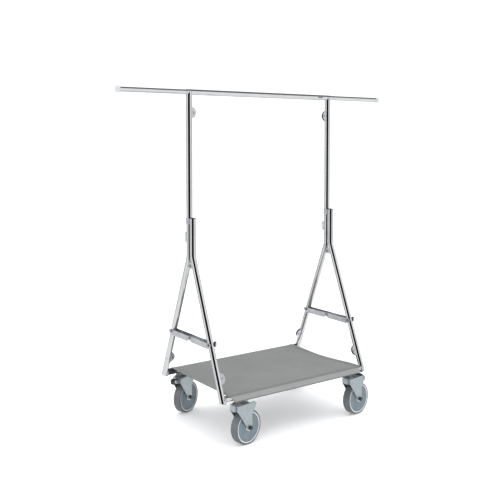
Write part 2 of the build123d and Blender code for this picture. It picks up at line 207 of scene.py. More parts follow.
@dataclass(frozen=True)
class Plating:
    """Bright plated steel: mirror smooth, with faint haze and polishing lines.

    Attributes:
        haze: How much rougher the clouded metal is.
        haze_mm: Size of the clouds.
        line_mm: Size of the polishing marks.
        line_depth: Strength of the polishing marks.
    """

    name: str
    light: str = "#e2e3e4"
    dark: str = "#d8d9db"
    roughness: float = 0.09
    haze: float = 0.06
    haze_mm: float = 40.0
    line_mm: float = 0.8
    line_depth: float = 0.02

    def make(self) -> bpy.types.Material:
        """Build the metal.

        Returns:
            The material.
        """
        material, tree = blank_material(self.name)
        place = add_node(tree, Shader.PLACE).outputs["Object"]
        cloud = add_node(
            tree,
            Shader.NOISE,
            {"Scale": 1000 / self.haze_mm, "Detail": 4.0, "Roughness": 0.55},
            {"Vector": place},
        ).outputs["Fac"]
        tint = shade_ramp(cloud, self.dark, self.light, 0.3, 0.7)
        gloss = shade_ramp(cloud, grey(self.roughness), grey(self.roughness + self.haze), 0.35, 0.75)
        fine = add_node(
            tree, Shader.NOISE, {"Scale": 1000 / self.line_mm, "Detail": 2.0}, {"Vector": place}
        )
        close_material(
            fine.outputs["Fac"],
            (self.line_depth, 0.0004),
            {"Metallic": 1.0},
            {"Base Color": tint, "Roughness": gloss},
        )
        return material


@dataclass(frozen=True)
class Moulding:
    """Moulded plastic or rubber: even colour with faint mottling and a fine texture.

    Attributes:
        colour: Colour of the fresh surface.
        worn: Colour of the handled surface.
        spread: How much rougher the handled surface is.
        grain_mm: Size of the surface grain.
        grain_depth: Strength of the surface grain.
        patch_mm: Size of the mottling.
        coat: Weight of the glossy skin.
    """

    name: str
    colour: str
    worn: str
    roughness: float = 0.45
    spread: float = 0.12
    grain_mm: float = 0.5
    grain_depth: float = 0.12
    patch_mm: float = 25.0
    coat: float = 0.0
    ior: float = 1.5

    def make(self) -> bpy.types.Material:
        """Build the plastic.

        Returns:
            The material.
        """
        material, tree = blank_material(self.name)
        place = add_node(tree, Shader.PLACE).outputs["Object"]
        patch = add_node(
            tree,
            Shader.NOISE,
            {"Scale": 1000 / self.patch_mm, "Detail": 5.0, "Roughness": 0.6},
            {"Vector": place},
        ).outputs["Fac"]
        tint = shade_ramp(patch, self.colour, self.worn, 0.38, 0.72)
        gloss = shade_ramp(patch, grey(self.roughness), grey(self.roughness + self.spread), 0.3, 0.7)
        grain = add_node(tree, Shader.CELLS, {"Scale": 1000 / self.grain_mm}, {"Vector": place})
        close_material(
            grain.outputs["Distance"],
            (self.grain_depth, 0.0002),
            {"Coat Weight": self.coat, "IOR": self.ior},
            {"Base Color": tint, "Roughness": gloss},
        )
        return material


@dataclass(frozen=True)
class Canvas:
    """Coated polyester canvas: plain weave, matt, with a soft sheen at grazing angles.

    The weave is drawn three times as coarse as the real threads so that it shows.

    Attributes:
        width: Real width that the map spans.
        length: Real length that the map spans.
        thread_mm: Spacing of the drawn threads.
        wave_unit: Length that one crest of the wave takes at a scale of one.
    """

    name: str
    light: str
    dark: str
    width: float
    length: float
    thread_mm: float = 1.5
    weave_depth: float = 0.35
    wave_unit: float = 0.314

    def make(self) -> bpy.types.Material:
        """Build the cloth.

        Returns:
            The material.
        """
        material, tree = blank_material(self.name)
        flat = add_node(tree, Shader.PLACE).outputs["UV"]
        metres = {"Scale": (self.width, self.length, 1.0)}
        size = add_node(tree, Shader.SCALE, metres, {"Vector": flat}).outputs["Vector"]
        # One crest of the wave for each thread.
        scale = 1000 * self.wave_unit / self.thread_mm
        warp, weft = (
            add_node(
                tree,
                Shader.WAVE,
                {"bands_direction": way, "Scale": scale, "Distortion": 0.6},
                {"Vector": size},
            )
            for way in ("X", "Y")
        )
        weave = add_node(
            tree,
            Shader.MATHS,
            {"operation": "MULTIPLY"},
            {0: warp.outputs["Fac"], 1: weft.outputs["Fac"]},
        ).outputs["Value"]
        fade = add_node(
            tree, Shader.NOISE, {"Scale": 9.0, "Detail": 6.0, "Roughness": 0.6}, {"Vector": size}
        )
        tint = shade_ramp(fade.outputs["Fac"], self.dark, self.light, 0.3, 0.7)
        threads = add_node(
            tree, Shader.MIX, {"blend_type": "MULTIPLY", "Fac": 0.22}, {"Color1": tint, "Color2": weave}
        )
        close_material(
            weave,
            (self.weave_depth, 0.0003),
            {"Roughness": 0.82, "Sheen Weight": 0.15, "Sheen Roughness": 0.5},
            {"Base Color": threads.outputs["Color"]},
        )
        return material


class Finishes:
    """Every finish of the rack, by the record's slot name."""

    def __init__(self) -> None:
        """Make each material once."""
        kinds = {
            # Chromed tube: a mirror with a hard dark stripe and faint polishing haze.
            "tube_chrome": Plating("chromed_steel_tube", roughness=0.045, haze=0.03, line_depth=0.006),
            # Polished rail: the same mirror, a touch sharper where the hangers rub it.
            "rail_chrome": Plating("polished_chrome_rail", roughness=0.04, haze=0.02, line_depth=0.006),
            # Plated sheet: pale and satin, with soft clouds and no clear mirror image.
            "plate_steel": Plating(
                "plated_sheet_steel", "#e8eaec", "#d0d3d6", roughness=0.42, haze=0.12, haze_mm=18.0
            ),
            # Zinc-plated channel: a duller, slightly streaked grey along the spreader.
            "link_steel": Plating(
                "zinc_plated_channel", "#e2e5e7", "#c8ccd0", roughness=0.36, haze=0.12, haze_mm=22.0
            ),
            # Rivet heads: small bright dots with a soft edge to their highlight.
            "rivet_steel": Plating(
                "bright_rivet", "#c8cacc", "#a6a9ac", roughness=0.2, haze=0.1, haze_mm=6.0
            ),
            # Passivated bolts: dark metal that only glints.
            "dark_steel": Plating(
                "dark_plated_bolt", "#6b7176", "#50565b", roughness=0.3, haze=0.12, haze_mm=6.0
            ),
            # Zinc-plated pressing: bluish and matt, with a fine spangle.
            "zinc_fork": Plating(
                "zinc_pressed_fork",
                "#d0d9dc",
                "#bcc6ca",
                roughness=0.5,
                haze=0.12,
                haze_mm=16.0,
                line_mm=0.6,
                line_depth=0.06,
            ),
            # Nylon stem: dark grey and satin, with faint flow marks.
            "stem_grey": Moulding("grey_nylon_stem", "#5c5f61", "#6d7072", roughness=0.4),
            # Pale cap: light grey with a clear glossy skin.
            "light_plastic": Moulding(
                "pale_moulded_cap", "#b4b6b8", "#c8cacc", roughness=0.25, spread=0.1, coat=0.3
            ),
            # Grey collar: plain satin plastic with a fine sparked texture.
            "grey_plastic": Moulding("grey_moulded_collar", "#8b8e91", "#a1a4a6", roughness=0.35),
            # Black nylon: nearly black, with a dull grey sheen at its edges.
            "black_plastic": Moulding("black_nylon", "#1c1d1e", "#303132", roughness=0.38),
            # Wheel rim: a pale, slightly glossy ring round the disc.
            "hub_plastic": Moulding(
                "pale_wheel_rim", "#d3d8da", "#e4e7e8", roughness=0.35, spread=0.1, coat=0.2
            ),
            # Wheel disc: blue-grey satin plastic.
            "disc_plastic": Moulding(
                "blue_grey_wheel_disc", "#65727a", "#74818a", roughness=0.38, spread=0.1, coat=0.15
            ),
            # Tyre: non-marking rubber, matt grey with a dusty, open grain.
            "tyre_grey": Moulding(
                "grey_rubber_tyre",
                "#585c5f",
                "#676b6e",
                roughness=0.6,
                spread=0.15,
                grain_mm=0.8,
                grain_depth=0.2,
            ),
        }
        self.made: dict[str, bpy.types.Material] = {
            slot: kind.make() for slot, kind in kinds.items()
        }

    def dress(self, piece: bpy.types.Object, slot: str) -> None:
        """Put one finish on a whole piece.

        Args:
            piece: The object.
            slot: Name of the finish.
        """
        if not piece.material_slots:
            piece.data.materials.append(self.made[slot])
        for material_slot in piece.material_slots:
            material_slot.material = self.made[slot]


# ---------------- mesh work


def clear_selection() -> None:
    """Leave object mode's selection empty."""
    if bpy.context.object and bpy.context.object.mode != "OBJECT":
        bpy.ops.object.mode_set(mode="OBJECT")
    bpy.ops.object.select_all(action="DESELECT")


@contextmanager
def shaping(piece: bpy.types.Object) -> Iterator[None]:
    """Work on one piece in edit mode, with nothing in it selected at first.

    Args:
        piece: The mesh object.

    Yields:
        Nothing.
    """
    clear_selection()
    piece.select_set(True)
    bpy.context.view_layer.objects.active = piece
    bpy.ops.object.mode_set(mode="EDIT")
    bpy.ops.mesh.select_mode(type="FACE")
    bpy.ops.mesh.select_all(action="DESELECT")
    yield
    bpy.ops.object.mode_set(mode="OBJECT")


def pick_faces(piece: bpy.types.Object, wanted: Callable[[bmesh.types.BMFace], bool]) -> None:
    """Select only the faces that a test accepts, in edit mode.

    Args:
        piece: The mesh object being edited.
        wanted: The test.
    """
    bpy.ops.mesh.select_all(action="DESELECT")
    mesh = bmesh.from_edit_mesh(piece.data)
    for face in mesh.faces:
        face.select_set(wanted(face))
    bmesh.update_edit_mesh(piece.data)


def middle(node: str) -> tuple[float, float, float]:
    """Find the centre of a CAD node's box.

    Args:
        node: The node's name.

    Returns:
        The centre in metres.
    """
    low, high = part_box(node)
    x, y, z = ((start + stop) / 2 for start, stop in zip(low, high))
    return x, y, z


def soften(piece: bpy.types.Object, width: float, segments: int = 3) -> None:
    """Round every sharp edge of a piece.

    Args:
        piece: The object.
        width: Width of the rounding.
        segments: Number of steps in it.
    """
    soft = piece.modifiers.new("edge", "BEVEL")
    soft.width, soft.segments, soft.limit_method = width, segments, "ANGLE"


def add_wall(piece: bpy.types.Object, name: str, thickness: float) -> None:
    """Thicken a surface evenly to both sides.

    Args:
        piece: The object.
        name: Name of the modifier.
        thickness: Wall thickness.
    """
    wall = piece.modifiers.new(name, "SOLIDIFY")
    wall.thickness, wall.offset = thickness, 0.0


def inset_steps(steps: tuple[tuple[float, float], ...]) -> None:
    """Inset the selected faces again and again, in edit mode.

    Args:
        steps: Width of each inset and how far it rises.
    """
    for thickness, depth in steps:
        bpy.ops.mesh.inset(thickness=thickness, depth=depth)


def push_out(move: tuple[float, float, float]) -> None:
    """Extrude the selected faces, in edit mode.

    Args:
        move: How far they move.
    """
    bpy.ops.mesh.extrude_region_move(TRANSFORM_OT_translate={"value": move})


def settle(piece: bpy.types.Object, name: str, angle: float = 35.0) -> bpy.types.Object:
    """Apply a piece's place and modifiers, and smooth its gentle edges.

    Args:
        piece: The object.
        name: Its final name.
        angle: Edges sharper than this many degrees stay sharp.

    Returns:
        The same object.
    """
    clear_selection()
    piece.select_set(True)
    bpy.context.view_layer.objects.active = piece
    for modifier in list(piece.modifiers):
        bpy.ops.object.modifier_apply(modifier=modifier.name)
    bpy.ops.object.transform_apply(location=True, rotation=True, scale=True)
    bpy.ops.object.shade_smooth_by_angle(angle=radians(angle))
    piece.name = name
    piece.data.name = name
    return piece


def copy_to(piece: bpy.types.Object, name: str, place: Matrix) -> bpy.types.Object:
    """Copy a settled piece with its own mesh, moved in the mesh.

    Args:
        piece: The pattern piece.
        name: Name of the copy.
        place: Where the copy goes.

    Returns:
        The copy.
    """
    twin = piece.copy()
    twin.data = piece.data.copy()
    twin.data.transform(place)
    twin.name = name
    bpy.context.scene.collection.objects.link(twin)
    return twin


def joint(name: str) -> dict:
    """Find a joint of the frame by its name.

    Args:
        name: The joint's name.

    Returns:
        The joint's entry, with its axis and place.
    """
    return next(item for item in frame["joints"] if item["name"] == name)


# ---------------- the shelf


@dataclass(frozen=True)
class ClothPiece:
    """One piece of the shelf's cloth.

    Attributes:
        x_span: Shares of the width where it starts and ends, from -1 to 1.
        v_span: Shares of the side view's length where it starts and ends.
        rise: Distance outwards from the panel's middle surface.
    """

    name: str
    x_span: tuple[float, float]
    v_span: tuple[float, float]
    columns: int
    rows: int
    rise: float
    thickness: float
    finish: Canvas


@dataclass
class ClothShelf:
    """Cloth panel stretched over the two base tubes, with a band hanging at each.

    Attributes:
        rear_reach: Half the width at the rear tube.
        front_reach: Half the width at the front tube.
        lift: Gap from a tube to the panel's middle surface.
        waist: How far the side edges are drawn in half way.
        pucker: Height of the pulls at the side edges.
        slack: Height of the ripples between them.
        flap_bottom: Length of the hanging band below the tube's middle.
        flap_out: How far the band's foot stands out.
        flap_cut: How much narrower the band's foot is at the left.
        flap_trim: The same at the right, as a share of the cut.
        flap_start: Height above the tube's middle where the cut begins.
        flap_drop: Height over which the cut grows.
        hem_span: Shares of the length where the side hems start and end.
        hem_layer: Rise and thickness of the side hems.
        band_layer: Rise and thickness of the pale bands.
        edge_layer: Rise and thickness of the bound edges.
        bend_share: Share of the way to a tube that the blend between the frames starts from. Not used.
        bend_margin: Distance from there to the blend's end. Not used.
        bend_height: Height of the blend's line. Not used.
        outline: The side view's points and the running length up to each.
    """

    rear_reach: float = 0.304
    front_reach: float = 0.316
    thickness: float = 0.0016
    lift: float = 0.0014
    sag: float = 0.005
    waist: float = 0.007
    pucker: float = 0.0005
    slack: float = 0.0007
    flap_bottom: float = 0.0140
    flap_out: float = 0.0038
    flap_cut: float = 0.024
    flap_trim: float = 0.3
    flap_start: float = 0.010
    flap_drop: float = 0.022
    hem_width: float = 0.016
    hem_span: tuple[float, float] = (0.05, 0.95)
    hem_layer: tuple[float, float] = (0.0012, 0.0008)
    band_height: float = 0.021
    band_layer: tuple[float, float] = (0.0013, 0.0009)
    edge_height: float = 0.0024
    edge_layer: tuple[float, float] = (0.0022, 0.0009)
    columns: int = 150
    rows: int = 150
    smooth_angle: float = 60.0
    bend_share: float = 39 / 40
    bend_margin: float = 0.02
    bend_height: float = 0.181
    outline: tuple[list[tuple[float, float]], list[float]] = field(init=False)

    def __post_init__(self) -> None:
        """Trace the side view once."""
        self.outline = self.profile()

    def section(self) -> list[tuple[float, float]]:
        """Trace half of the panel's side view, from the middle to the hem.

        Returns:
            Points of distance from the middle plane and height.
        """
        low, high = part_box("rear_base_tube")
        _, tube_y, tube_z = middle("rear_base_tube")
        radius = (high[2] - low[2]) / 2 + self.lift
        span, wrap, flap = 40, 13, 8
        points = []
        for i in range(span):
            dip = self.sag * cos(pi / 2 * i / span) ** 2
            points.append((tube_y * i / span, tube_z + radius - dip))
        for i in range(wrap + 1):
            turn = pi / 2 * i / wrap
            points.append((tube_y + radius * sin(turn), tube_z + radius * cos(turn)))
        for i in range(1, flap + 1):
            fall = self.flap_bottom * i / flap
            points.append((tube_y + radius + self.flap_out * sin(pi / 2 * i / flap), tube_z - fall))
        return points

    def profile(self) -> tuple[list[tuple[float, float]], list[float]]:
        """Give the whole side view, evenly numbered, with its running length.

        Returns:
            Points from the front hem to the rear hem, and the length up to each.
        """
        half = self.section()
        points = [(-y, z) for y, z in reversed(half)] + half[1:]
        lengths = [0.0]
        for (y0, z0), (y1, z1) in zip(points, points[1:]):
            lengths.append(lengths[-1] + ((y1 - y0) ** 2 + (z1 - z0) ** 2) ** 0.5)
        return points, lengths

    def at(self, share: float) -> tuple[float, float]:
        """Find the point at a share of the side view's length.

        Args:
            share: From 0 at the front hem to 1 at the rear hem.

        Returns:
            Place across the rack and height.
        """
        points, lengths = self.outline
        goal = share * lengths[-1]
        for i in range(1, len(lengths)):
            if lengths[i] >= goal or i == len(lengths) - 1:
                step = lengths[i] - lengths[i - 1]
                t = (goal - lengths[i - 1]) / step
                (y0, z0), (y1, z1) = points[i - 1], points[i]
                return y0 + (y1 - y0) * t, z0 + (z1 - z0) * t
        return points[-1]

    def ripple(self, x: float, y: float) -> float:
        """Height of the slack between the pulled corners.

        Args:
            x: Place along the rail.
            y: Place across the rack.

        Returns:
            A small rise or fall in metres.
        """
        edge = abs(x) / self.front_reach
        pull = sin(14 * edge + 9 * y) * self.pucker * edge**3
        return pull + sin(7.1 * x + 1.3) * sin(13.0 * y + 0.4) * self.slack

    def reach(self, y: float, z: float, across: float) -> float:
        """Distance from the middle to the side edge at one place.

        Args:
            y: Place across the rack.
            z: Height.
            across: Share of the width, negative on the left.

        Returns:
            Half the width there.
        """
        _, tube_y, tube_z = middle("rear_base_tube")
        share = max(0.0, min(1.0, 0.5 - y / (2 * tube_y)))
        wide = self.rear_reach + (self.front_reach - self.rear_reach) * share
        inset = self.waist * cos(pi / 2 * min(1.0, abs(y) / tube_y)) ** 2
        fall = 0.0
        if abs(y) > tube_y - 0.002:
            fall = max(0.0, min(1.0, (tube_z + self.flap_start - z) / self.flap_drop))
        cut = self.flap_cut if across < 0 else self.flap_trim * self.flap_cut
        return wide - inset - cut * fall * (2.0 - fall)

    def sheet_mesh(self, plan: ClothPiece) -> bpy.types.Object:
        """Lay a grid along the side view.

        Args:
            plan: Where the piece lies.

        Returns:
            The new object.
        """
        clear_selection()
        bpy.ops.mesh.primitive_grid_add(x_subdivisions=plan.columns, y_subdivisions=plan.rows, size=2.0)
        piece = bpy.context.object
        _, tube_y, _ = middle("rear_base_tube")
        step = 0.002
        (left, right), (start, stop) = plan.x_span, plan.v_span
        for vertex in piece.data.vertices:
            across = left + (right - left) * (vertex.co.x + 1) / 2
            v = start + (stop - start) * (vertex.co.y + 1) / 2
            y, z = self.at(v)
            y2, z2 = self.at(min(1.0, v + step))
            y1, z1 = self.at(max(0.0, v - step))
            along = Vector((0.0, y2 - y1, z2 - z1)).normalized()
            out = Vector((0.0, -along.z, along.y))
            x = across * self.reach(y, z, across)
            height = self.ripple(x, y) if abs(y) < tube_y - 0.01 else 0.0
            vertex.co = Vector((x, y, z + height)) + out * plan.rise
        return piece

    def build(self, finishes: Finishes) -> None:
        """Make the panel, its side hems and its end bands.

        Args:
            finishes: The rack's finishes. Not used.
        """
        length = self.outline[1][-1]
        width = self.rear_reach + self.front_reach
        cloth = Canvas("grey_coated_canvas", "#797b7b", "#717373", width, length)
        hem = Canvas("grey_canvas_hem", "#787a79", "#707271", self.hem_width, length)
        band = Canvas("pale_canvas_band", "#959796", "#8d8f8e", width, 0.022)
        edge = Canvas("dark_bound_edge", "#66686a", "#5c5e60", width, 0.0022)
        share = 2 * self.hem_width / width
        strip, bind = self.band_height / length, self.edge_height / length
        full, grid, tall = (-1.0, 1.0), (100, 16), (8, self.rows)
        plans = (
            ClothPiece(
                "shelf_panel", full, (0.0, 1.0), self.columns, self.rows, 0.0, self.thickness, cloth
            ),
            ClothPiece("shelf_hem_left", (-1.0, share - 1.0), self.hem_span, *tall, *self.hem_layer, hem),
            ClothPiece("shelf_hem_right", (1.0 - share, 1.0), self.hem_span, *tall, *self.hem_layer, hem),
            ClothPiece("shelf_band_front", full, (0.0, strip), *grid, *self.band_layer, band),
            ClothPiece("shelf_band_rear", full, (1.0 - strip, 1.0), *grid, *self.band_layer, band),
            ClothPiece("shelf_edge_front", full, (0.0, bind), 100, 4, *self.edge_layer, edge),
            ClothPiece("shelf_edge_rear", full, (1.0 - bind, 1.0), 100, 4, *self.edge_layer, edge),
        )
        made: dict[str, bpy.types.Object] = {}
        for plan in plans:
            piece = self.sheet_mesh(plan)
            add_wall(piece, "cloth_thickness", plan.thickness)
            settle(piece, plan.name, self.smooth_angle)
            piece.data.materials.append(plan.finish.make())
            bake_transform(piece)
            made[plan.name] = piece
            log.info("%s: %d faces", plan.name, len(piece.data.polygons))
        panel = made.pop("shelf_panel")
        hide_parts("shelf_fabric")
        log.info("shelf cloth is %.3f by %.3f m flat", width, length)


# ---------------- casters


@dataclass
class CasterTrim:
    """Dished wheel discs and axle caps of the four casters.

    Attributes:
        disc_out: Distance from the wheel's middle to a disc's.
        disc_steps: Rings of a disc from its rim inwards, as width and rise.
        cap_out: Distance from the wheel's middle to a cap's.
        cap_steps: Rings of a cap from its edge inwards, as width and rise.
    """

    disc_radius: float = 0.0523
    disc_depth: float = 0.0030
    disc_out: float = 0.0127
    disc_rounding: float = 0.0005
    disc_steps: tuple[tuple[float, float], ...] = (
        (0.0022, 0.0),
        (0.0015, -0.0013),
        (0.0180, 0.0),
        (0.0020, 0.0012),
        (0.0060, 0.0),
        (0.0015, 0.0010),
    )
    cap_radius: float = 0.0078
    cap_depth: float = 0.0034
    cap_out: float = 0.0277
    cap_rounding: float = 0.0004
    cap_steps: tuple[tuple[float, float], ...] = ((0.0016, 0.0012), (0.0022, -0.0008))
    corners: tuple[str, ...] = ("front_left", "front_right", "rear_left", "rear_right")

    def disc(self) -> bpy.types.Object:
        """Model the moulded disc of a wheel, facing +Z at the origin.

        Returns:
            The pattern piece.
        """
        clear_selection()
        bpy.ops.mesh.primitive_cylinder_add(vertices=96, radius=self.disc_radius, depth=self.disc_depth)
        piece = bpy.context.object
        with shaping(piece):
            pick_faces(piece, lambda f: f.normal.z > FACING)
            inset_steps(self.disc_steps)
        soften(piece, self.disc_rounding)
        return settle(piece, "wheel_disc_pattern")

    def cap(self) -> bpy.types.Object:
        """Model the round cover of an axle nut, facing +Z at the origin.

        Returns:
            The pattern piece.
        """
        clear_selection()
        bpy.ops.mesh.primitive_cylinder_add(vertices=48, radius=self.cap_radius, depth=self.cap_depth)
        piece = bpy.context.object
        with shaping(piece):
            pick_faces(piece, lambda f: f.normal.z > FACING)
            inset_steps(self.cap_steps)
        soften(piece, self.cap_rounding)
        return settle(piece, "axle_cap_pattern")

    def build(self, finishes: Finishes) -> None:
        """Place discs and caps on both sides of every wheel.

        Args:
            finishes: The rack's finishes.
        """
        disc, cap = self.disc(), self.cap()
        for corner in self.corners:
            spin = joint(f"wheel_spin_{corner}")
            axis, centre = Vector(spin["axis"]), Vector(spin["pos_m"])
            for side, sign in (("inner", 1), ("outer", -1)):
                facing = (axis * sign).to_track_quat("Z", "Y").to_matrix().to_4x4()
                at = Matrix.Translation(centre + axis * sign * self.disc_out)
                plate = copy_to(disc, f"wheel_disc_{corner}_{side}", at @ facing)
                finishes.dress(plate, "disc_plastic")
                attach(plate, f"wheel_{corner}")
                at = Matrix.Translation(centre + axis * sign * self.cap_out)
                cover = copy_to(cap, f"axle_cap_{corner}_{side}", at @ facing)
                finishes.dress(cover, "dark_steel")
                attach(cover, f"caster_{corner}")
            log.info("caster %s trimmed", corner)
        bpy.data.objects.remove(disc)
        bpy.data.objects.remove(cap)


# ---------------- small trim


@dataclass
class TubePlugs:
    """Moulded plugs in the open tops of the front legs.

    Attributes:
        head_step: Width and rise of the step on top.
        wall: How much narrower the plug is below its head.
        depth: How far the plug reaches into the leg.
    """

    radius: float = 0.0108
    lip: float = 0.0016
    tube_radius: float = 0.011
    head_step: tuple[float, float] = (0.0020, 0.0006)
    wall: float = 0.0013
    depth: float = 0.008
    rounding: float = 0.0004

    def build(self, finishes: Finishes) -> None:
        """Make one plug for each front leg.

        Args:
            finishes: The rack's finishes.
        """
        for side in ("left", "right"):
            leg = f"front_leg_{side}"
            _, rear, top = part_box(leg)[1]
            clear_selection()
            bpy.ops.mesh.primitive_cylinder_add(
                vertices=48,
                radius=self.radius,
                depth=self.lip,
                location=(middle(leg)[0], rear - self.tube_radius, top + self.lip / 2),
            )
            piece = bpy.context.object
            with shaping(piece):
                pick_faces(piece, lambda f: f.normal.z > FACING)
                inset_steps((self.head_step,))
                pick_faces(piece, lambda f: f.normal.z < -FACING)
                inset_steps(((self.wall, 0.0),))
                push_out((0, 0, -self.depth))
            soften(piece, self.rounding)
            settle(piece, f"leg_plug_{side}")
            finishes.dress(piece, "black_plastic")
            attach(piece, "front_frame")
            log.info("leg plug %s made", side)


@dataclass
class SleeveShade:
    """Black collars where the rear base tube leaves the sleeve of the cloth: painted shade, standing in for the
    dark inside of the open sleeve.

    Attributes:
        flare: How much wider the outer mouth is.
        outer: Distance from the middle of the rack to the outer end.
        inner: Distance from the middle of the rack to the inner end.
    """

    bore: float = 0.0113
    wall: float = 0.0008
    flare: float = 1.06
    outer: float = 0.3235
    inner: float = 0.2850

    def build(self, finishes: Finishes) -> None:
        """Make one collar of painted shade for each end of the rear tube.

        Args:
            finishes: The rack's finishes.
        """
        _, y, z = middle("rear_base_tube")
        for side, sign in (("left", -1), ("right", 1)):
            clear_selection()
            bpy.ops.mesh.primitive_cylinder_add(
                vertices=56,
                radius=self.bore + self.wall / 2,
                depth=self.outer - self.inner,
                end_fill_type="NOTHING",
                location=(sign * (self.outer + self.inner) / 2, y, z),
                rotation=(0, pi / 2, 0),
            )
            piece = bpy.context.object
            with shaping(piece):
                bpy.ops.mesh.select_all(action="SELECT")
                bpy.ops.mesh.subdivide(number_cuts=5)
                bpy.ops.mesh.select_mode(type="VERT")
                mesh = bmesh.from_edit_mesh(piece.data)
                for vertex in mesh.verts:
                    vertex.select_set(vertex.co.z * sign > (self.outer - self.inner) * 0.45)
                bmesh.update_edit_mesh(piece.data)
                bpy.ops.transform.resize(value=(1.0, self.flare, self.flare))
            add_wall(piece, "wall", self.wall)
            settle(piece, f"sleeve_shade_collar_{side}")
            # Black collar: painted shade for the dark inside of the sleeve.
            finishes.dress(piece, "black_plastic")
            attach(piece, "rear_frame")
            log.info("sleeve mouth %s made", side)


@dataclass
class HingeShadeStrips:
    """Black strips in the groove between the half-moon hinge plates: painted shade, a dark crescent standing in
    for the shaded rim of the hinge.

    Attributes:
        inset: Distance from the tube's axis to the middle of the curve.
        start: Distance from the tube's axis to the strip's ends.
    """

    radius: float = 0.0187
    width: float = 0.0070
    wall: float = 0.0008
    inset: float = 0.0060
    start: float = 0.0118

    def strip(self) -> bpy.types.Object:
        """Model one curved strip, bulging towards +X from a tube on the Z axis.

        Returns:
            The pattern piece.
        """
        clear_selection()
        bpy.ops.mesh.primitive_cylinder_add(
            vertices=72,
            radius=self.radius,
            depth=self.width,
            end_fill_type="NOTHING",
            location=(self.inset, 0, 0),
            rotation=(pi / 2, 0, 0),
        )
        piece = bpy.context.object
        bpy.ops.object.transform_apply(location=True, rotation=True, scale=True)
        with shaping(piece):
            bpy.ops.mesh.select_all(action="SELECT")
            bpy.ops.mesh.bisect(plane_co=(self.start, 0, 0), plane_no=(1, 0, 0), clear_inner=True)
        add_wall(piece, "wall", self.wall)
        return settle(piece, "hinge_shade_pattern")

    def build(self, finishes: Finishes) -> None:
        """Put one strip of painted shade in each of the six tube hinges.

        Args:
            finishes: The rack's finishes.
        """
        _, foot_y, foot_z = middle("rear_base_tube")
        tube_x = middle("rear_leg_right")[0]
        strip = self.strip()
        plans = (
            ("rear_leg", "rear_leg_hinges", "rear_frame"),
            ("front_leg", "front_leg_hinges", "front_frame"),
            ("post", "post_hinges", "top_frame"),
        )
        for name, node, body in plans:
            _, y, z = middle(node)
            slope = atan2(foot_y - abs(y), z - foot_z) if name != "post" else 0.0
            lean = Matrix.Rotation(slope if y > 0 else -slope, 4, "X")
            for side, sign in (("left", -1), ("right", 1)):
                facing = Matrix.Rotation(pi if sign > 0 else 0.0, 4, "Z")
                at = Matrix.Translation((sign * tube_x, y, z)) @ lean @ facing
                piece = copy_to(strip, f"hinge_shade_strip_{name}_{side}", at)
                # Black strip: painted shade for the hinge's shaded rim.
                finishes.dress(piece, "black_plastic")
                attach(piece, body)
            log.info("hinge spacers of the %s made", name)
        bpy.data.objects.remove(strip)


@dataclass
class ReleaseTab:
    """Black V-shaped brake release on the nose of the rear left caster.

    Attributes:
        bend: Step from the upper arm to the corner of the V.
        lower: Step from the corner to the lower tip.
        reach: Distance from the swivel's axis to the arm's middle.
        drop: Distance below the swivel's point.
        tilt: Lean of the arm in degrees.
    """

    width: float = 0.020
    arm: float = 0.017
    thickness: float = 0.0035
    bend: tuple[float, float, float] = (-0.004, 0, -0.006)
    lower: tuple[float, float, float] = (0.007, 0, -0.013)
    rounding: float = 0.0012
    reach: float = 0.0315
    drop: float = 0.004
    tilt: float = 12.0

    def build(self, finishes: Finishes) -> None:
        """Make the tab in front of the caster's nose.

        Args:
            finishes: The rack's finishes.
        """
        swivel, spin = joint("swivel_rear_left"), joint("wheel_spin_rear_left")
        centre = Vector(swivel["pos_m"])
        trailing = Vector(spin["pos_m"]) - centre
        trailing.z = 0.0
        turn = atan2(trailing.y, trailing.x)
        clear_selection()
        bpy.ops.mesh.primitive_cube_add(size=1.0)
        piece = bpy.context.object
        piece.scale = (self.arm, self.width, self.thickness)
        bpy.ops.object.transform_apply(location=False, rotation=False, scale=True)
        with shaping(piece):
            pick_faces(piece, lambda f: f.normal.x < -FACING)
            push_out(self.bend)
            push_out(self.lower)
        soften(piece, self.rounding)
        settle(piece, "release_tab_pattern")
        offset = Matrix.Translation((-self.reach, 0.0, -self.drop))
        lean = Matrix.Rotation(radians(self.tilt), 4, "Y")
        place = Matrix.Translation(centre) @ Matrix.Rotation(turn, 4, "Z") @ offset @ lean
        tab = copy_to(piece, "release_tab_rear_left", place)
        bpy.data.objects.remove(piece)
        finishes.dress(tab, "black_plastic")
        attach(tab, "caster_rear_left")
        log.info("release tab made")


@dataclass
class BoltCaps:
    """Tall black nuts on the front spreader bolts, at the right-hand side of each leg.

    Attributes:
        gap: Gap between a nut and its bolt or leg.
        face_step: Width and rise of the step on the outer face.
    """

    width: float = 0.009
    height: float = 0.018
    depth: float = 0.0055
    gap: float = 0.0001
    face_step: tuple[float, float] = (0.0015, 0.0010)
    rounding: float = 0.0018

    def build(self, finishes: Finishes) -> None:
        """Make one cap for each front spreader bolt.

        Args:
            finishes: The rack's finishes.
        """
        _, y, z = middle("front_spreader_bolts")
        bolt_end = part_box("front_spreader_bolts")[1][0]
        leg_x = abs(middle("front_leg_left")[0])
        for side, start in (("left", bolt_end - 2 * leg_x), ("right", bolt_end)):
            clear_selection()
            at = (start + self.depth / 2 + self.gap, y, z)
            bpy.ops.mesh.primitive_cube_add(size=1.0, location=at)
            piece = bpy.context.object
            piece.scale = (self.depth, self.width, self.height)
            bpy.ops.object.transform_apply(location=False, rotation=False, scale=True)
            with shaping(piece):
                pick_faces(piece, lambda f: f.normal.x > FACING)
                inset_steps((self.face_step,))
            soften(piece, self.rounding, 4)
            settle(piece, f"bolt_cap_{side}")
            finishes.dress(piece, "black_plastic")
            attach(piece, "front_frame")
            log.info("bolt cap %s made", side)


# ---------------- the studio


@dataclass(frozen=True)
class DarkPanel:
    """A dark cloth hung in the room, that the bright tubes mirror as a stripe.

    Attributes:
        right: Degrees to the right of where the camera stands.
        up: Degrees above the horizon.
        spread: Half its width in degrees.
        depth: How dark it is, up to one.
    """

    right: float
    up: float
    spread: float
    depth: float = 1.0


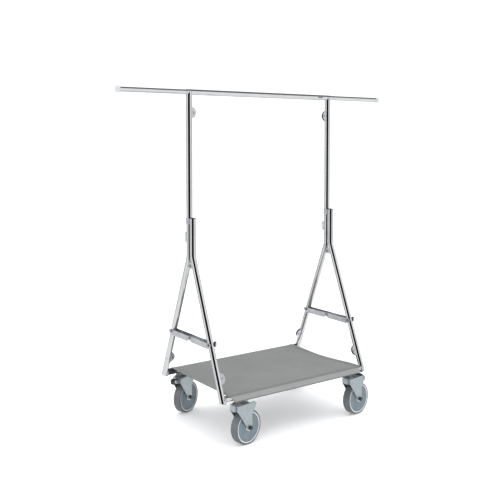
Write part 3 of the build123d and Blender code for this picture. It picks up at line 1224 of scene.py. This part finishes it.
@dataclass(frozen=True)
class Lamp:
    """A square soft lamp.

    Attributes:
        aimed: Whether it faces the rack, or straight down.
    """

    name: str
    place: tuple[float, float, float]
    size: float
    power: float
    aimed: bool = True


@dataclass
class Studio:
    """Pale floor, soft light and the camera.

    Attributes:
        room_light: Colour of the room where it is seen directly.
        mirrored_light: Colour of the room in the bright tubes.
        mirrored_dark: Colour of the dark panels.
        blur: Softness of a panel's edge in degrees.
        floor_glow: Strength of the light that the floor gives back.
    """

    azimuth: float = 35.9
    elevation: float = 3.15
    distance: float = 3.0
    target: tuple[float, float, float] = (-0.069, 0.0, 0.9194)
    lens: float = 56.1
    shift: float = -0.132
    room_light: str = "#ffffff"
    room_strength: float = 1.2
    mirrored_light: str = "#e8e9e9"
    mirrored_dark: str = "#17181a"
    blur: float = 4.0
    paper: str = "#f7f8f9"
    floor_glow: float = 0.16
    aim: tuple[float, float, float] = (0, 0, 0.7)
    lamps: tuple[Lamp, ...] = (
        Lamp("overhead", (0.0, -0.4, 3.2), 3.6, 42.0, aimed=False),
        Lamp("left_bank", (-3.0, -1.8, 1.7), 1.6, 24.0),
        Lamp("right_bank", (3.0, -1.6, 1.6), 1.2, 14.0),
    )
    panels: tuple[DarkPanel, ...] = (
        DarkPanel(2.0, -2.0, 42.0),
        DarkPanel(6.0, 32.0, 33.0),
        DarkPanel(115.0, 55.0, 35.0, 0.85),
        DarkPanel(-100.0, -2.0, 15.0, 0.6),
        DarkPanel(98.0, -4.0, 15.0, 0.45),
        DarkPanel(182.0, 0.0, 40.0),
    )

    def floor(self) -> None:
        """Lay a wide pale floor under the wheels."""
        clear_selection()
        bpy.ops.mesh.primitive_plane_add(size=40.0, location=(0, 0, 0))
        ground = bpy.context.object
        ground.name = "studio_floor"
        material, tree = blank_material("white_paper")
        paper = linear(self.paper)
        surface = add_node(
            tree,
            Shader.SURFACE,
            {
                "Base Color": paper,
                "Roughness": 0.9,
                "Emission Color": paper,
                "Emission Strength": self.floor_glow,
            },
        )
        add_node(tree, Shader.OUTPUT, links={"Surface": surface.outputs["BSDF"]})
        ground.data.materials.append(material)
        ground.visible_glossy = False

    def lights(self) -> None:
        """Hang three large soft lamps."""
        for plan in self.lamps:
            data = bpy.data.lights.new(plan.name, "AREA")
            data.shape, data.size, data.energy = "SQUARE", plan.size, plan.power
            lamp = bpy.data.objects.new(plan.name, data)
            lamp.visible_glossy = False
            lamp.location = plan.place
            if plan.aimed:
                way = Vector(self.aim) - Vector(plan.place)
                lamp.rotation_euler = way.to_track_quat("-Z", "Y").to_euler()
            bpy.context.scene.collection.objects.link(lamp)

    def surroundings(self) -> None:
        """Fill the room with light that has darker bands for the chrome to mirror."""
        world = bpy.data.worlds.new("studio")
        bpy.context.scene.world = world
        world.use_nodes = True
        tree = world.node_tree
        tree.nodes.clear()
        way = add_node(tree, Shader.PLACE).outputs["Generated"]
        dark = None
        for panel in self.panels:
            near = add_node(
                tree,
                Shader.VECTOR,
                {"operation": "DOT_PRODUCT", 1: self.towards(panel.right, panel.up)},
                {0: way},
            )
            shade = add_node(
                tree,
                Shader.RANGE,
                {
                    "From Min": cos(radians(panel.spread + self.blur)),
                    "From Max": cos(radians(panel.spread - self.blur)),
                    "To Max": panel.depth,
                },
                {"Value": near.outputs["Value"]},
            ).outputs["Result"]
            if dark is None:
                dark = shade
            else:
                both = add_node(tree, Shader.MATHS, {"operation": "MAXIMUM"}, {0: dark, 1: shade})
                dark = both.outputs["Value"]
        mirrored = add_node(
            tree,
            Shader.MIX,
            {"Color1": linear(self.mirrored_light), "Color2": linear(self.mirrored_dark)},
            {"Fac": dark},
        )
        ray = add_node(tree, Shader.RAY)
        seen = add_node(
            tree,
            Shader.MIX,
            {"Color1": linear(self.room_light)},
            {"Fac": ray.outputs["Is Glossy Ray"], "Color2": mirrored.outputs["Color"]},
        )
        glow = add_node(
            tree, Shader.GLOW, {"Strength": self.room_strength}, {"Color": seen.outputs["Color"]}
        )
        add_node(tree, Shader.SKY, links={"Surface": glow.outputs["Background"]})
        bpy.context.scene.view_settings.view_transform = "Standard"

    def towards(self, right: float, up: float) -> tuple[float, float, float]:
        """Give the direction of a place round the room.

        Args:
            right: Degrees to the right of where the camera stands.
            up: Degrees above the horizon.

        Returns:
            A unit direction from the rack.
        """
        turn = radians(self.azimuth - right)
        rise = radians(up)
        return -sin(turn) * cos(rise), -cos(turn) * cos(rise), sin(rise)

    def camera(self) -> None:
        """Place the camera and make it the scene's."""
        back = Vector(self.towards(0.0, self.elevation))
        data = bpy.data.cameras.new("camera")
        data.lens = self.lens
        data.sensor_width = 36.0
        data.shift_y = self.shift
        camera = bpy.data.objects.new("camera", data)
        camera.location = Vector(self.target) + back * self.distance
        camera.rotation_euler = (-back).to_track_quat("-Z", "Y").to_euler()
        bpy.context.scene.collection.objects.link(camera)
        bpy.context.scene.camera = camera

    def build(self) -> None:
        """Set up everything round the rack."""
        self.camera()
        self.floor()
        self.lights()
        self.surroundings()
        log.info("studio ready")


def dress_frame(finishes: Finishes) -> None:
    """Give every CAD node the finish that its record slot names.

    Args:
        finishes: The rack's finishes.
    """
    for entry in frame["record"]["subparts"]:
        if entry["material_slot"] in finishes.made:
            finishes.dress(frame["nodes"][entry["node"]], entry["material_slot"])
    log.info("dressed %d nodes", len(frame["nodes"]))


def main() -> None:
    """Build the rack's looks in order."""
    logging.basicConfig(level=logging.INFO, format="%(name)s: %(message)s")
    finishes = Finishes()
    Studio().build()
    dress_frame(finishes)
    ClothShelf().build(finishes)
    CasterTrim().build(finishes)
    TubePlugs().build(finishes)
    BoltCaps().build(finishes)
    SleeveShade().build(finishes)
    HingeShadeStrips().build(finishes)
    ReleaseTab().build(finishes)


if __name__ == "__main__":
    main()
